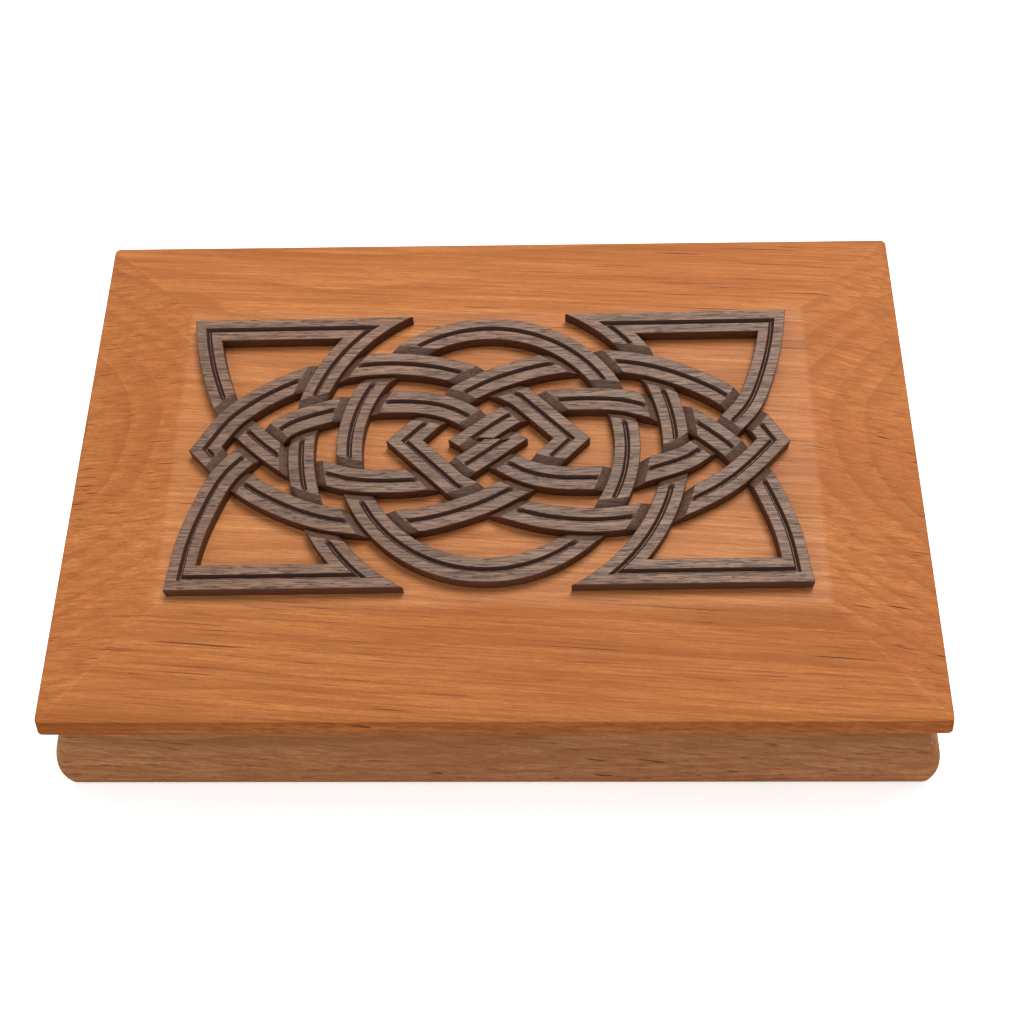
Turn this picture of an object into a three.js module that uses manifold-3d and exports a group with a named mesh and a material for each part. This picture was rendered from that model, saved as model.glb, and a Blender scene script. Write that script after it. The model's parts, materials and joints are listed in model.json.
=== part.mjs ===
// A flat wooden puzzle box. A bevelled lid with an interlaced knot overlay swivels on a corner
// pivot once a hidden lock in the base is released. Millimetres, +Z up, origin at the bottom
// centre, the box's front faces -Y. Everything is drawn closed, with the lock released.
import * as THREE from 'three';
import { mergeVertices } from 'three/addons/utils/BufferGeometryUtils.js';
import Module from 'manifold-3d';

const wasm = await Module();
wasm.setup();

// ---------------------------------------------------------------- driving dimensions
const LID_LENGTH = 216; // over the lid's upper arris
const LID_WIDTH = 140;
const LID_EDGE = 6.4; // height of the lid's upright edge
const LID_RISE = 6.3; // rise of the bevel from the edge to the flat field
const LID_BEVEL = 27; // width of the bevel in plan
const LID_FLARE = 1; // the edge leans out this much towards the underside
const LID_CORNER = 1.4; // plan radius of the lid's corners

const BASE_HEIGHT = 31.7;
const BASE_NECK = 6.4; // the rim stands in this far under the lid's arris
const BASE_BELLY = 3.5; // the sides swell out this far beyond the arris
const BASE_BELLY_Z = 5; // height of the widest part
const BASE_CORNER = 3; // plan radius of the base's corners
const RUNNING_GAP = 0.3;

const LID_Z = BASE_HEIGHT + RUNNING_GAP; // underside of the lid
const FIELD_Z = LID_Z + LID_EDGE + LID_RISE; // flat field under the knot

const TRAY = { x0: -78, x1: 48, y0: -50, y1: 50, corner: 14, floor: 11 };
const FELT_THICKNESS = 1.2;

const PIVOT = { x: -91, y: 53 };
const SWIVEL_RANGE = 115; // degrees, counter-clockwise from above
const PIVOT_SHANK = 3;
const STOP_RADIUS = 13; // the stop pin stands this far from the pivot
const STOP_ANGLE = -20; // degrees, where the stop pin stands
const STOP_PIN = 1.5;

const PLATE = { x: 99, y: 61, corner: 8, z0: 0.3, z1: 4.2 };
const WINDOW = { x0: 44, x1: 88, y: 17 };

const BOLT = { x: 85, y: -46, radius: 4, z0: 10, z1: 31, lift: 6 };
const BAR = { x0: 76, x1: 80, y0: -62, y1: 18, z0: 9.5, z1: 23, travel: 12 };
const KNOB = { x: 78, y: -1, radius: 3.4, z0: 8 };
const SLAT = { x0: 19.5, x1: 67.5, y: 20.2, z0: 4.5, z1: 7.4, travel: 22 };
const LUG = { x0: 54, x1: 60, y: -11, half: 3, z1: 13 };
const TILT_PIN = { x: 50, y0: -44, y1: -22, radius: 1.4, travel: 7 };

const MAGNET = { x: -88, y: -52, radius: 4, thickness: 2 };

// ---------------------------------------------------------------- shape helpers
function solidOf(geometry) {
  const bare = geometry.index ? geometry.toNonIndexed() : geometry.clone();
  bare.deleteAttribute('normal');
  bare.deleteAttribute('uv');
  const merged = mergeVertices(bare, 1e-5);
  return new wasm.Manifold(new wasm.Mesh({
    numProp: 3,
    vertProperties: new Float32Array(merged.attributes.position.array),
    triVerts: new Uint32Array(merged.index.array),
  }));
}

function geometryOf(solid) {
  const mesh = solid.getMesh();
  const geometry = new THREE.BufferGeometry();
  geometry.setAttribute('position', new THREE.BufferAttribute(mesh.vertProperties, 3));
  geometry.setIndex(new THREE.BufferAttribute(mesh.triVerts, 1));
  return geometry;
}

function cut(body, ...tools) {
  return tools.reduce((left, tool) => left.subtract(tool), body);
}

function join(body, ...others) {
  return others.reduce((sum, other) => sum.add(other), body);
}

function block(x0, x1, y0, y1, z0, z1) {
  const geometry = new THREE.BoxGeometry(x1 - x0, y1 - y0, z1 - z0);
  geometry.translate((x0 + x1) / 2, (y0 + y1) / 2, (z0 + z1) / 2);
  return solidOf(geometry);
}

function rod(x, y, z0, z1, radius, sides = 24, topRadius = radius) {
  const geometry = new THREE.CylinderGeometry(topRadius, radius, z1 - z0, sides);
  geometry.rotateX(Math.PI / 2);
  geometry.translate(x, y, (z0 + z1) / 2);
  return solidOf(geometry);
}

function rodAlongX(x0, x1, y, z, radius, sides = 16) {
  const geometry = new THREE.CylinderGeometry(radius, radius, x1 - x0, sides);
  geometry.rotateZ(Math.PI / 2);
  geometry.translate((x0 + x1) / 2, y, z);
  return solidOf(geometry);
}

function rodAlongY(y0, y1, x, z, radius, sides = 16) {
  const geometry = new THREE.CylinderGeometry(radius, radius, y1 - y0, sides);
  geometry.translate(x, (y0 + y1) / 2, z);
  return solidOf(geometry);
}

function roundedRectangle(halfX, halfY, corner) {
  const shape = new THREE.Shape();
  const x = halfX - corner;
  const y = halfY - corner;
  shape.absarc(x, -y, corner, -Math.PI / 2, 0, false);
  shape.absarc(x, y, corner, 0, Math.PI / 2, false);
  shape.absarc(-x, y, corner, Math.PI / 2, Math.PI, false);
  shape.absarc(-x, -y, corner, Math.PI, Math.PI * 1.5, false);
  shape.closePath();
  return shape;
}

function slab(shape, z0, z1, curveSegments = 8) {
  const options = { depth: z1 - z0, bevelEnabled: false, curveSegments };
  const geometry = new THREE.ExtrudeGeometry(shape, options);
  geometry.translate(0, 0, z0);
  return solidOf(geometry);
}

// A rounded rectangle carried up through levels, each one offset outwards by its own amount.
function flaredBlock(halfX, halfY, corner, levels, curveSegments = 6) {
  const shape = roundedRectangle(halfX, halfY, corner);
  const steps = levels.length - 1;
  const options = { depth: steps, steps, bevelEnabled: false, curveSegments };
  const geometry = new THREE.ExtrudeGeometry(shape, options);
  const position = geometry.attributes.position;
  for (let i = 0; i < position.count; i += 1) {
    const level = levels[Math.round(position.getZ(i))];
    const x = position.getX(i);
    const y = position.getY(i);
    position.setXYZ(i, x + Math.sign(x) * level.out, y + Math.sign(y) * level.out, level.z);
  }
  return solidOf(geometry);
}

// A round-ended slot through the part, as a solid to cut with: from one point to another.
function slotShape(ax, ay, bx, by, halfWidth) {
  const turn = Math.atan2(by - ay, bx - ax);
  const shape = new THREE.Shape();
  shape.absarc(bx, by, halfWidth, turn - Math.PI / 2, turn + Math.PI / 2, false);
  shape.absarc(ax, ay, halfWidth, turn + Math.PI / 2, turn + Math.PI * 1.5, false);
  shape.closePath();
  return shape;
}

const degrees = Math.PI / 180;
const group = new THREE.Group();

function place(name, solid, look) {
  const material = new THREE.MeshStandardMaterial(look);
  const mesh = new THREE.Mesh(geometryOf(solid), material);
  mesh.name = name;
  group.add(mesh);
  return mesh;
}

const ALDER = { color: 0xc4875a, roughness: 0.45, metalness: 0 };
const WALNUT = { color: 0x6f5a48, roughness: 0.5, metalness: 0 };
const MAPLE = { color: 0xd9bd8f, roughness: 0.5, metalness: 0 };
const BRASS = { color: 0xb8964a, roughness: 0.3, metalness: 1 };
const STEEL = { color: 0x9a9da1, roughness: 0.3, metalness: 1 };
const MAGNET_LOOK = { color: 0xb9bcc0, roughness: 0.2, metalness: 1 };
const FELT = { color: 0x3c2f2a, roughness: 0.95, metalness: 0 };

// ---------------------------------------------------------------- base body
// Side profile: a parabola from the widest height up to the neck, slightly drawn in below.
function baseOffset(z) {
  const rise = (z - BASE_BELLY_Z) / (BASE_HEIGHT - BASE_BELLY_Z);
  return BASE_BELLY - (BASE_BELLY + BASE_NECK) * rise * rise;
}

function baseLevels() {
  const levels = [{ z: 0, out: baseOffset(0) - 1.2 }, { z: 0.4, out: baseOffset(0.4) - 0.4 }];
  const heights = [1.2, BASE_BELLY_Z, 9, 13, 17, 20.5, 24, 27, 29.5, BASE_HEIGHT - 0.6];
  heights.forEach((z) => levels.push({ z, out: baseOffset(z) }));
  levels.push({ z: BASE_HEIGHT, out: baseOffset(BASE_HEIGHT) - 0.5 });
  return levels;
}

function buildBase() {
  const body = flaredBlock(LID_LENGTH / 2, LID_WIDTH / 2, BASE_CORNER, baseLevels());
  const trayShape = roundedRectangle(
    (TRAY.x1 - TRAY.x0) / 2, (TRAY.y1 - TRAY.y0) / 2, TRAY.corner,
  );
  const tray = slab(trayShape, TRAY.floor, BASE_HEIGHT + 5, 10)
    .translate([(TRAY.x0 + TRAY.x1) / 2, (TRAY.y0 + TRAY.y1) / 2, 0]);
  const plateShape = roundedRectangle(PLATE.x + 0.3, PLATE.y + 0.3, PLATE.corner);
  const plateRebate = slab(plateShape, -5, PLATE.z1 + 0.1, 5);
  // Channels for the lock, routed from below and closed by the bottom plate.
  const slatChannel = block(
    SLAT.x0 - 1, SLAT.x1 + SLAT.travel + 1, -SLAT.y - 0.4, SLAT.y + 0.4, 0, SLAT.z1 + 0.4,
  );
  const lugChannel = block(
    LUG.x0 - 0.5, LUG.x1 + SLAT.travel + 0.6, LUG.y - LUG.half - 0.5, LUG.y + LUG.half + 0.5,
    0, LUG.z1 + 0.4,
  );
  const barChannel = block(
    BAR.x0 - 0.4, BAR.x1 + 0.4, BAR.y0 - 0.5, BAR.y1 + BAR.travel + 0.6, 0, BAR.z1 + 0.4,
  );
  const knobSlot = slab(
    slotShape(KNOB.x, KNOB.y, KNOB.x, KNOB.y + BAR.travel, KNOB.radius + 0.6), 0, BAR.z0 + 1,
  );
  const pinChannel = block(
    TILT_PIN.x - TILT_PIN.radius - 0.4, TILT_PIN.x + TILT_PIN.radius + 0.4,
    TILT_PIN.y0 - 1, -SLAT.y + 1, 0, SLAT.z1 + 0.4,
  );
  // The bolt runs in a sleeve; below it a slot lets the cross pin rise with the bolt.
  const boltBore = rod(BOLT.x, BOLT.y, 0, 40, BOLT.radius + 1.8);
  const crossPinSlot = block(
    BAR.x1, BOLT.x, BOLT.y - 2, BOLT.y + 2, 0, BAR.z1 + 0.4,
  );
  const pivotBore = rod(PIVOT.x, PIVOT.y, -5, 40, 5.3);
  const pivotCounterbore = rod(PIVOT.x, PIVOT.y, 0, 9.4, 8);
  const thrustRecess = rod(PIVOT.x, PIVOT.y, BASE_HEIGHT - 1.4, 40, 7.6);
  const stop = stopPinPlace();
  const stopHole = rod(stop.x, stop.y, 20, 40, STOP_PIN + 0.1, 20);
  const magnetHole = rod(
    MAGNET.x, MAGNET.y, BASE_HEIGHT - MAGNET.thickness - 0.4, 40, MAGNET.radius + 0.2,
  );
  const screwHoles = plateScrewPlaces().map((at) => rod(at.x, at.y, 0, 9.8, 1.7, 16));
  return cut(
    body, tray, plateRebate, slatChannel, lugChannel, barChannel, knobSlot, pinChannel,
    boltBore, crossPinSlot, pivotBore, pivotCounterbore, thrustRecess, stopHole, magnetHole,
    ...screwHoles,
  );
}

function stopPinPlace() {
  return {
    x: PIVOT.x + STOP_RADIUS * Math.cos(STOP_ANGLE * degrees),
    y: PIVOT.y + STOP_RADIUS * Math.sin(STOP_ANGLE * degrees),
  };
}

function plateScrewPlaces() {
  const places = [];
  [-1, 1].forEach((sideY) => {
    [-70, 0, 66].forEach((x) => places.push({ x, y: sideY * (PLATE.y - 6) }));
  });
  return places;
}

place('base_body', buildBase(), ALDER);

// ---------------------------------------------------------------- bottom plate and screws
function buildPlate() {
  const plate = slab(roundedRectangle(PLATE.x, PLATE.y, PLATE.corner), PLATE.z0, PLATE.z1, 5);
  const window = block(WINDOW.x0, WINDOW.x1 - 4, -WINDOW.y, WINDOW.y, -5, 10);
  const sinks = plateScrewPlaces().map((at) => join(
    rod(at.x, at.y, PLATE.z0 - 0.4, PLATE.z0 + 2.6, 4.2, 20, 1.9),
    rod(at.x, at.y, 0, 10, 1.9, 20),
  ));
  return cut(plate, window, ...sinks);
}

function buildScrew(x, y) {
  const head = rod(x, y, PLATE.z0 + 0.2, PLATE.z0 + 2.2, 3.4, 20, 1.5);
  const shank = rod(x, y, PLATE.z0 + 2, 9.3, 1.5, 16);
  const slot = block(x - 5, x + 5, y - 0.4, y + 0.4, PLATE.z0 - 1, PLATE.z0 + 1);
  return cut(join(head, shank), slot);
}

place('bottom_plate', buildPlate(), ALDER);
plateScrewPlaces().forEach((at, index) => {
  place(`plate_screw_${index + 1}`, buildScrew(at.x, at.y), BRASS);
});

// ---------------------------------------------------------------- lid
function buildLid() {
  const body = flaredBlock(LID_LENGTH / 2, LID_WIDTH / 2, LID_CORNER, [
    { z: LID_Z, out: LID_FLARE - 0.7 },
    { z: LID_Z + 0.7, out: LID_FLARE },
    { z: LID_Z + LID_EDGE - 0.5, out: 0.08 },
    { z: LID_Z + LID_EDGE, out: -0.4 },
    { z: FIELD_Z, out: -LID_BEVEL },
  ], 5);
  const insertHole = rod(PIVOT.x, PIVOT.y, 0, LID_Z + 7.4, 5.2);
  const strikeHole = rod(BOLT.x, BOLT.y, 0, LID_Z + 6.8, BOLT.radius + 2.2);
  const magnetHole = rod(
    MAGNET.x, MAGNET.y, 0, LID_Z + MAGNET.thickness + 0.4, MAGNET.radius + 0.2,
  );
  return cut(body, insertHole, strikeHole, magnetHole, buildStopGroove());
}

// The groove in the lid's underside that the stop pin runs in while the lid swivels.
function buildStopGroove() {
  const half = STOP_PIN + 0.45;
  const from = (STOP_ANGLE - SWIVEL_RANGE) * degrees;
  const to = STOP_ANGLE * degrees;
  const shape = new THREE.Shape();
  shape.absarc(0, 0, STOP_RADIUS + half, from, to, false);
  shape.absarc(
    STOP_RADIUS * Math.cos(to), STOP_RADIUS * Math.sin(to), half, to, to + Math.PI, false,
  );
  shape.absarc(0, 0, STOP_RADIUS - half, to, from, true);
  shape.absarc(
    STOP_RADIUS * Math.cos(from), STOP_RADIUS * Math.sin(from), half,
    from + Math.PI, from + Math.PI * 2, false,
  );
  shape.closePath();
  return slab(shape, LID_Z - 5, LID_Z + 3.4, 16).translate([PIVOT.x, PIVOT.y, 0]);
}

place('lid_panel', buildLid(), ALDER);

// ---------------------------------------------------------------- pivot
function ring(x, y, z0, z1, outer, inner, sides = 24) {
  return cut(rod(x, y, z0, z1, outer, sides), rod(x, y, z0 - 1, z1 + 1, inner, sides));
}

function buildPivotBolt() {
  const head = rod(PIVOT.x, PIVOT.y, 4.6, 7.8, 5.5, 24);
  const shank = rod(PIVOT.x, PIVOT.y, 7.8, LID_Z + 7, PIVOT_SHANK, 24);
  const slot = block(PIVOT.x - 8, PIVOT.x + 8, PIVOT.y - 0.6, PIVOT.y + 0.6, 4, 5.8);
  return cut(join(head, shank), slot);
}

place('pivot_bolt', buildPivotBolt(), STEEL);
place('pivot_head_washer', ring(PIVOT.x, PIVOT.y, 8.1, 9.2, 7.4, 3.4), STEEL);
place('pivot_bushing', ring(PIVOT.x, PIVOT.y, 9.6, BASE_HEIGHT - 1.6, 5, 3.3), BRASS);
place(
  'pivot_thrust_washer',
  ring(PIVOT.x, PIVOT.y, BASE_HEIGHT - 1.2, LID_Z - 0.1, 7.2, 3.4), BRASS,
);
place('pivot_insert', ring(PIVOT.x, PIVOT.y, LID_Z + 0.3, LID_Z + 7.2, 5, 3.2), BRASS);
const stopAt = stopPinPlace();
place('lid_stop_pin', rod(stopAt.x, stopAt.y, 20.3, LID_Z + 2.8, STOP_PIN, 20), BRASS);

// ---------------------------------------------------------------- lock bolt
place('lock_bolt', cut(
  join(
    rod(BOLT.x, BOLT.y, BOLT.z0, BOLT.z1 - 0.8, BOLT.radius),
    rod(BOLT.x, BOLT.y, BOLT.z1 - 0.8, BOLT.z1, BOLT.radius, 24, BOLT.radius - 0.8),
  ),
  rodAlongX(BOLT.x - 9, BOLT.x + 1.5, BOLT.y, BOLT.z0 + 4, 1.6),
), STEEL);
place(
  'lock_bolt_cross_pin', rodAlongX(BAR.x0 + 0.2, BOLT.x + 1.2, BOLT.y, BOLT.z0 + 4, 1.5), STEEL,
);
place(
  'lock_bolt_sleeve',
  ring(BOLT.x, BOLT.y, BAR.z1 + 0.8, BASE_HEIGHT - 0.2, BOLT.radius + 1.6, BOLT.radius + 0.2),
  BRASS,
);
place(
  'lock_strike',
  ring(BOLT.x, BOLT.y, LID_Z + 0.2, LID_Z + 6.5, BOLT.radius + 2, BOLT.radius + 0.5), BRASS,
);

// ---------------------------------------------------------------- lock bar
// The bar's slanted slot lifts the bolt as the bar slides back; its two lower notches take the
// slat's lug at either end of the bar's travel.
function buildBar() {
  const bar = block(BAR.x0, BAR.x1, BAR.y0, BAR.y1, BAR.z0, BAR.z1);
  const slope = slotShape(
    BOLT.y, BOLT.z0 + 4, BOLT.y - BAR.travel, BOLT.z0 + 4 + BOLT.lift, 1.8,
  );
  const options = { depth: 12, bevelEnabled: false, curveSegments: 8 };
  const slotGeometry = new THREE.ExtrudeGeometry(slope, options);
  // The slot is drawn in Y and Z: turn the shape's x to +Y, its y to +Z and its depth to +X.
  slotGeometry.applyMatrix4(new THREE.Matrix4().makeBasis(
    new THREE.Vector3(0, 1, 0), new THREE.Vector3(0, 0, 1), new THREE.Vector3(1, 0, 0),
  ));
  slotGeometry.translate(BAR.x0 - 4, 0, 0);
  const notches = [0, -BAR.travel].map((shift) => block(
    BAR.x0 - 1, BAR.x1 + 1, LUG.y + shift - LUG.half - 0.4, LUG.y + shift + LUG.half + 0.4,
    BAR.z0 - 1, LUG.z1 + 0.5,
  ));
  const knobHole = rod(KNOB.x, KNOB.y, 0, BAR.z0 + 4, 1.7, 20);
  return cut(bar, solidOf(slotGeometry), ...notches, knobHole);
}

place('lock_bar', buildBar(), MAPLE);
place('lock_bar_knob', join(
  rod(KNOB.x, KNOB.y, KNOB.z0, BAR.z0 - 0.1, KNOB.radius, 28),
  rod(KNOB.x, KNOB.y, BAR.z0 - 0.5, BAR.z0 + 3.8, 1.5, 20),
), WALNUT);

// ---------------------------------------------------------------- shutter slat and tilt pin
function buildSlat() {
  const slat = block(SLAT.x0, SLAT.x1, -SLAT.y, SLAT.y, SLAT.z0, SLAT.z1);
  const notches = [0, -SLAT.travel].map((shift) => block(
    TILT_PIN.x + shift - 1.9, TILT_PIN.x + shift + 1.9, -SLAT.y - 1, -SLAT.y + 6.5,
    SLAT.z0 - 1, SLAT.z1 + 1,
  ));
  const fingerDish = rod(SLAT.x1 - 10, 3, SLAT.z0 - 1, SLAT.z0 + 1.2, 6, 28);
  const lugHole = block(
    LUG.x0 + 1.4, LUG.x1 - 1.4, LUG.y - 1.6, LUG.y + 1.6, SLAT.z0 + 0.9, SLAT.z1 + 1,
  );
  return cut(slat, ...notches, fingerDish, lugHole);
}

function buildLug() {
  const head = block(
    LUG.x0, LUG.x1, LUG.y - LUG.half, LUG.y + LUG.half, SLAT.z1 + 0.1, LUG.z1,
  );
  const tenon = block(
    LUG.x0 + 1.6, LUG.x1 - 1.6, LUG.y - 1.4, LUG.y + 1.4, SLAT.z0 + 1.1, SLAT.z1 + 1,
  );
  return join(head, tenon);
}

place('shutter_slat', buildSlat(), WALNUT);
place('shutter_lug', buildLug(), BRASS);
place(
  'tilt_pin',
  rodAlongY(
    TILT_PIN.y0, TILT_PIN.y1, TILT_PIN.x, (SLAT.z0 + SLAT.z1) / 2, TILT_PIN.radius,
  ), STEEL,
);

// ---------------------------------------------------------------- magnets and felt
place('lid_magnet', rod(
  MAGNET.x, MAGNET.y, LID_Z + 0.2, LID_Z + 0.2 + MAGNET.thickness, MAGNET.radius,
), MAGNET_LOOK);
place('base_magnet', rod(
  MAGNET.x, MAGNET.y, BASE_HEIGHT - 0.2 - MAGNET.thickness, BASE_HEIGHT - 0.2, MAGNET.radius,
), MAGNET_LOOK);
place('tray_felt', slab(
  roundedRectangle(
    (TRAY.x1 - TRAY.x0) / 2 - 0.5, (TRAY.y1 - TRAY.y0) / 2 - 0.5, TRAY.corner - 0.5,
  ), TRAY.floor + 0.1, TRAY.floor + 0.1 + FELT_THICKNESS, 8,
).translate([(TRAY.x0 + TRAY.x1) / 2, (TRAY.y0 + TRAY.y1) / 2, 0]), FELT);

// ---------------------------------------------------------------- knot overlay
// Five closed bands, always passing over and under in turn: a ring, two frame loops and two
// almond loops. Centrelines are drawn about the knot's own centre, the left-hand loops first.
const KNOT = {
  x: -1.1,
  y: -0.3,
  turn: 0.55, // degrees counter-clockwise from above
  thickness: 3.4,
  underTop: 1.7, // height of a band where another crosses over it
  band: 6.6,
  ring: 34.9, // radius of the ring's centreline
  cornerX: 74,
  cornerY: 35.9,
  parenRadius: 47.6, // the inner side of each frame loop is an arc
  parenX: 0.6,
  axis: 1.3, // the inner figures lie this far behind the knot's centre
  ramp: 2.4, // length of the step down beside an upper band
  step: 4.4,
};
const HALF_BAND = KNOT.band / 2;
const KNOT_SEED = false; // the ring passes under at its first crossing

// From the inner vertex out to the frame's side, with y measured from the figures' axis.
const FRAME_PATH = [
  [4.4, 0], [-4.5, 6.5], [-10.8, 9.8], [-18, 11.3], [-27, 11.5], [-34, 10.9], [-39.1, 9.5],
  [-48.8, 6.3], [-54, 2.8], [-60.1, -2.6], [-66.4, -9.9], [-70.6, -20.1], [-72.9, -28.5],
];
// The almond's outer point, then over its back to the start of the straight run inwards.
const ALMOND_TIP = [-71.3, -1.4];
const ALMOND_PATH = [
  [-66, 6.9], [-60.5, 11.8], [-54.5, 15.7], [-46, 19.7], [-37, 22.2], [-26, 23.2],
  [-16, 22.3], [-8, 20.3], [0, 17.3], [8, 12.9],
];
const ALMOND_VERTEX = [21, 0];

function smooth(points) {
  const curve = new THREE.SplineCurve(points.map(([x, y]) => new THREE.Vector2(x, y)));
  const count = Math.round(curve.getLength() / KNOT.step);
  return curve.getSpacedPoints(count).map((p) => [p.x, p.y]);
}

function mirrorY(points) {
  return points.map(([x, y]) => [x, -y]);
}

function mirrorX(points) {
  return points.map(([x, y]) => [-x, y]);
}

function raise(points, by) {
  return points.map(([x, y]) => [x, y + by]);
}

function frameLoop() {
  const { cornerX, cornerY, axis } = KNOT;
  const upper = smooth([...FRAME_PATH, [-cornerX, -cornerY - axis]]);
  const lower = smooth([...FRAME_PATH, [-cornerX, axis - cornerY]]);
  const reach = Math.asin(cornerY / KNOT.parenRadius);
  const arcSteps = 14;
  const arc = Array.from({ length: arcSteps + 1 }, (unused, i) => {
    const angle = reach * (1 - (2 * i) / arcSteps);
    const x = KNOT.parenX - KNOT.parenRadius * Math.cos(angle);
    return [x, -KNOT.parenRadius * Math.sin(angle)];
  });
  // Front left corner, front bar, arc to the back, back bar, back side, vertex, front side.
  return [
    ...arc,
    ...raise(mirrorY(lower), axis).reverse(),
    ...raise(upper, axis).slice(1),
  ];
}

function almondLoop() {
  const back = smooth([ALMOND_TIP, ...ALMOND_PATH]);
  const front = mirrorY(smooth([[ALMOND_TIP[0], -ALMOND_TIP[1]], ...ALMOND_PATH]))
    .slice(1).reverse();
  return raise([...back, ALMOND_VERTEX, ...front], KNOT.axis);
}

function ringLoop() {
  const count = 48;
  return Array.from({ length: count }, (unused, i) => {
    const angle = (2 * Math.PI * (i + 0.5)) / count;
    return [KNOT.ring * Math.cos(angle), KNOT.ring * Math.sin(angle)];
  });
}

const LOOPS = [ringLoop(), frameLoop(), mirrorX(frameLoop()), almondLoop(), mirrorX(almondLoop())];

// One closed loop as corner points with the length of the path up to each of them.
function measured(points) {
  const lengths = [0];
  points.forEach((point, i) => {
    const next = points[(i + 1) % points.length];
    lengths.push(lengths[i] + Math.hypot(next[0] - point[0], next[1] - point[1]));
  });
  return { points, lengths, total: lengths[points.length] };
}

function crossingOf(a, b, c, d) {
  const ux = b[0] - a[0];
  const uy = b[1] - a[1];
  const vx = d[0] - c[0];
  const vy = d[1] - c[1];
  const cross = ux * vy - uy * vx;
  if (Math.abs(cross) < 1e-9) {
    return null;
  }
  const s = ((c[0] - a[0]) * vy - (c[1] - a[1]) * vx) / cross;
  const t = ((c[0] - a[0]) * uy - (c[1] - a[1]) * ux) / cross;
  if (s < 0 || s >= 1 || t < 0 || t >= 1) {
    return null;
  }
  const sine = Math.abs(cross) / (Math.hypot(ux, uy) * Math.hypot(vx, vy));
  return { s, t, sine };
}

function findCrossings(loops) {
  const crossings = [];
  loops.forEach((first, i) => first.points.forEach((a, m) => {
    const b = first.points[(m + 1) % first.points.length];
    loops.slice(i).forEach((second, offset) => second.points.forEach((c, n) => {
      const adjacent = offset === 0 && n < m + 2;
      const closing = offset === 0 && m === 0 && n === second.points.length - 1;
      if (adjacent || closing) {
        return;
      }
      const d = second.points[(n + 1) % second.points.length];
      const hit = crossingOf(a, b, c, d);
      if (hit) {
        const along = (loop, k, part) => (
          loop.lengths[k] + part * (loop.lengths[k + 1] - loop.lengths[k])
        );
        crossings.push({
          sine: hit.sine,
          ends: [
            { loop: i, at: along(first, m, hit.s) },
            { loop: i + offset, at: along(second, n, hit.t) },
          ],
        });
      }
    }));
  }));
  return crossings;
}

// Over and under alternate along every loop, and the two bands at a crossing always differ.
function weave(loops, crossings) {
  const passes = loops.map((unused, i) => crossings
    .flatMap((crossing) => crossing.ends
      .filter((end) => end.loop === i)
      .map((end) => ({ crossing, end })))
    .sort((p, q) => p.end.at - q.end.at));
  const waiting = [0];
  const done = new Set();
  crossings[0].ends[0].over = KNOT_SEED;
  while (waiting.length > 0) {
    const list = passes[waiting.pop()];
    const known = list.findIndex((pass) => pass.end.over !== undefined);
    list.forEach((pass, k) => {
      const same = (k - known) % 2 === 0;
      pass.end.over = same ? list[known].end.over : !list[known].end.over;
      const other = pass.crossing.ends.find((end) => end !== pass.end);
      if (other.over === undefined) {
        other.over = !pass.end.over;
        if (!done.has(other.loop)) {
          waiting.push(other.loop);
        }
      }
    });
    list.forEach((pass) => done.add(pass.end.loop));
  }
  return passes;
}

// Points of a loop from one length along it to another, wrapping round its start.
function stretch(loop, from, to) {
  const at = (length) => {
    const wrapped = ((length % loop.total) + loop.total) % loop.total;
    const k = Math.max(0, loop.lengths.findIndex((value) => value > wrapped) - 1);
    const a = loop.points[k];
    const b = loop.points[(k + 1) % loop.points.length];
    const part = (wrapped - loop.lengths[k]) / (loop.lengths[k + 1] - loop.lengths[k]);
    return [a[0] + part * (b[0] - a[0]), a[1] + part * (b[1] - a[1])];
  };
  const inner = [];
  [-1, 0, 1].forEach((turn) => loop.points.forEach((point, k) => {
    const length = loop.lengths[k] + turn * loop.total;
    if (length > from + 0.05 && length < to - 0.05) {
      inner.push(point);
    }
  }));
  return [at(from), ...inner, at(to)];
}

// One side of a band: the centreline moved sideways, with its corners kept sharp.
function sideOf(points, distance, closed) {
  const count = points.length;
  const normal = (a, b) => {
    const length = Math.hypot(b[0] - a[0], b[1] - a[1]);
    return [-(b[1] - a[1]) / length, (b[0] - a[0]) / length];
  };
  return points.map((point, i) => {
    const before = closed || i > 0 ? points[(i + count - 1) % count] : null;
    const after = closed || i < count - 1 ? points[(i + 1) % count] : null;
    const n1 = before ? normal(before, point) : normal(point, after);
    const n2 = after ? normal(point, after) : n1;
    const k = distance / (1 + n1[0] * n2[0] + n1[1] * n2[1]);
    return [point[0] + k * (n1[0] + n2[0]), point[1] + k * (n1[1] + n2[1])];
  });
}

function prism(outline, z0, z1) {
  const shape = new THREE.Shape(outline.map(([x, y]) => new THREE.Vector2(x, y)));
  return slab(shape, z0, z1);
}

function bandPiece(points, halfWidth, z0, z1) {
  const left = sideOf(points, halfWidth, false);
  const right = sideOf(points, -halfWidth, false).reverse();
  return prism([...left, ...right], z0, z1);
}

function wholeBand(loop) {
  // Split where the loop doesn't cross itself, with a small overlap.
  const parts = 4;
  const length = loop.total / parts;
  const pieces = Array.from({ length: parts }, (unused, i) => bandPiece(
    stretch(loop, loop.start + i * length - 0.3, loop.start + (i + 1) * length + 0.3),
    HALF_BAND, 0, KNOT.thickness,
  ));
  return join(...pieces);
}

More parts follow.
